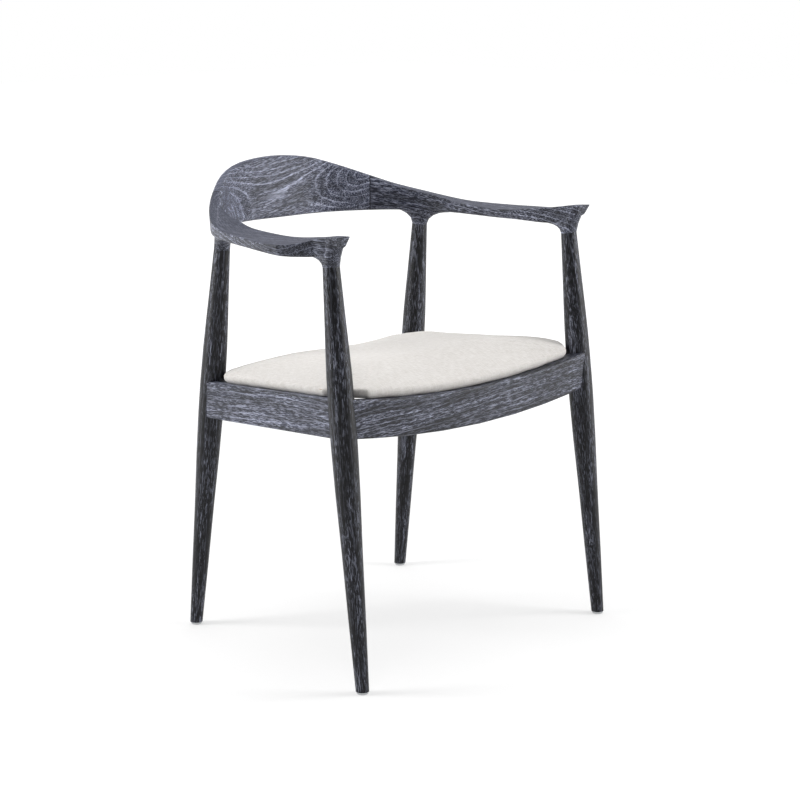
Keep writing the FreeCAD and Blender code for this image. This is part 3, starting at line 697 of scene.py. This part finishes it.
# white paper, matt, that glows for the camera and keeps the chair's shadow
def paperFloor(name):
    material, tree = newMaterial(name)
    seen = addNode(tree, "LightPath", None, None, "Is Camera Ray")
    for ray in ("Is Glossy Ray", "Is Transmission Ray"):
        other = addNode(tree, "LightPath", None, None, ray)
        seen = addNode(tree, "Math", {"operation": "MAXIMUM"}, {0: seen, 1: other})
    coordinates = addNode(tree, "TexCoord", None, None, "Object")
    away = addNode(tree, "VectorMath", {"operation": "LENGTH"}, {0: coordinates}, "Value")
    near, far = floorPaper["glowEdge"]
    low, high = floorPaper["glow"]
    rise = {"interpolation_type": "SMOOTHSTEP", "From Min": near, "From Max": far,
            "To Min": low, "To Max": high}
    glow = addNode(tree, "MapRange", rise, {"Value": away})
    strength = addNode(tree, "Math", {"operation": "MULTIPLY"}, {0: seen, 1: glow})
    light = addNode(tree, "Emission", None, {"Strength": strength})
    matt = addNode(tree, "BsdfDiffuse", {"Color": linearColour(floorPaper["colour"])})
    surface = addNode(tree, "AddShader", None, {0: light, 1: matt})
    addNode(tree, "OutputMaterial", None, {"Surface": surface})
    return material


def layFloor():
    reach = floorPaper["reach"]
    corners = [(-reach, -reach, 0), (reach, -reach, 0), (reach, reach, 0), (-reach, reach, 0)]
    mesh = bpy.data.meshes.new("floor")
    mesh.from_pydata(corners, [], [(0, 1, 2, 3)])
    floor = bpy.data.objects.new("floor", mesh)
    bpy.context.scene.collection.objects.link(floor)
    giveMaterial(floor, paperFloor("paperFloor"))
    floor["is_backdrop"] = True


room = {
    "backdrop": 0.9,              # white paper behind the chair
    "dark": 0.18,                 # dim room behind the camera
    "towards": (0.69, 0.69, 0.2),
    "edge": (-0.35, 0.6),
}


# white all round for the camera; to the chair, bright behind it and dim behind the camera
def surroundRoom():
    world = bpy.data.worlds.new("studioWorld")
    bpy.context.scene.world = world
    world.use_nodes = True
    tree = world.node_tree
    tree.nodes.clear()
    camera = addNode(tree, "LightPath", None, None, "Is Camera Ray")
    through = addNode(tree, "LightPath", None, None, "Is Transmission Ray")
    seen = addNode(tree, "Math", {"operation": "MAXIMUM"}, {0: camera, 1: through})
    direction = addNode(tree, "TexCoord", None, None, "Generated")
    settings = {"operation": "DOT_PRODUCT", 1: room["towards"]}
    towards = addNode(tree, "VectorMath", settings, {0: direction}, "Value")
    low, high = room["edge"]
    rise = {"interpolation_type": "SMOOTHSTEP", "From Min": low, "From Max": high,
            "To Min": room["dark"], "To Max": room["backdrop"]}
    around = addNode(tree, "MapRange", rise, {"Value": towards})
    strength = addNode(tree, "Math", {"operation": "MAXIMUM"}, {0: around, 1: seen})
    sky = addNode(tree, "Background", {"Color": (1, 1, 1, 1)}, {"Strength": strength})
    addNode(tree, "OutputWorld", None, {"Surface": sky})


lamps = {
    "leftBank": {"at": (-2.0, 1.5, 1.3), "to": (0, 0, 0.5), "size": (0.9, 2.0), "power": 58},
    "rightBank": {"at": (1.75, -1.8, 1.2), "to": (0, 0.1, 0.6), "size": (1.0, 2.0), "power": 50},
    "topBank": {"at": (0.2, 0.1, 2.4), "to": (0, 0, 0.4), "size": (1.8, 1.8), "power": 15},
    # crossed polarisers keep this one's shine off the wood
    "cameraFill": {"at": (-1.9, -1.7, 1.5), "to": (0, 0, 0.4), "size": (1.6, 1.6), "power": 12,
                   "shine": False},
}


def hangLamps():
    for name, lamp in lamps.items():
        light = bpy.data.lights.new(name, "AREA")
        light.shape = "RECTANGLE"
        light.size, light.size_y = lamp["size"]
        light.energy = lamp["power"]
        holder = bpy.data.objects.new(name, light)
        holder.location = lamp["at"]
        aim = Vector(lamp["to"]) - Vector(lamp["at"])
        holder.rotation_euler = aim.to_track_quat("-Z", "Y").to_euler()
        holder.visible_glossy = lamp.get("shine", True)
        bpy.context.scene.collection.objects.link(holder)


# the place and angle that the photograph was taken from
photoCamera = {
    "lens": 93.97,       # mm
    "sensor": 36,
    "at": (-2.3656, -2.4194, 1.113),
    "turn": (77.7, 0, -45),
    "far": 50,
}


def setCamera():
    data = bpy.data.cameras.new("camera")
    data.lens = photoCamera["lens"]
    data.sensor_width = photoCamera["sensor"]
    data.clip_end = photoCamera["far"]
    camera = bpy.data.objects.new("camera", data)
    camera.location = photoCamera["at"]
    camera.rotation_euler = [math.radians(angle) for angle in photoCamera["turn"]]
    bpy.context.scene.collection.objects.link(camera)
    bpy.context.scene.camera = camera


layFloor()
surroundRoom()
hangLamps()
setCamera()
bpy.context.scene.view_settings.view_transform = "Standard"
print("studio done")

low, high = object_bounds()
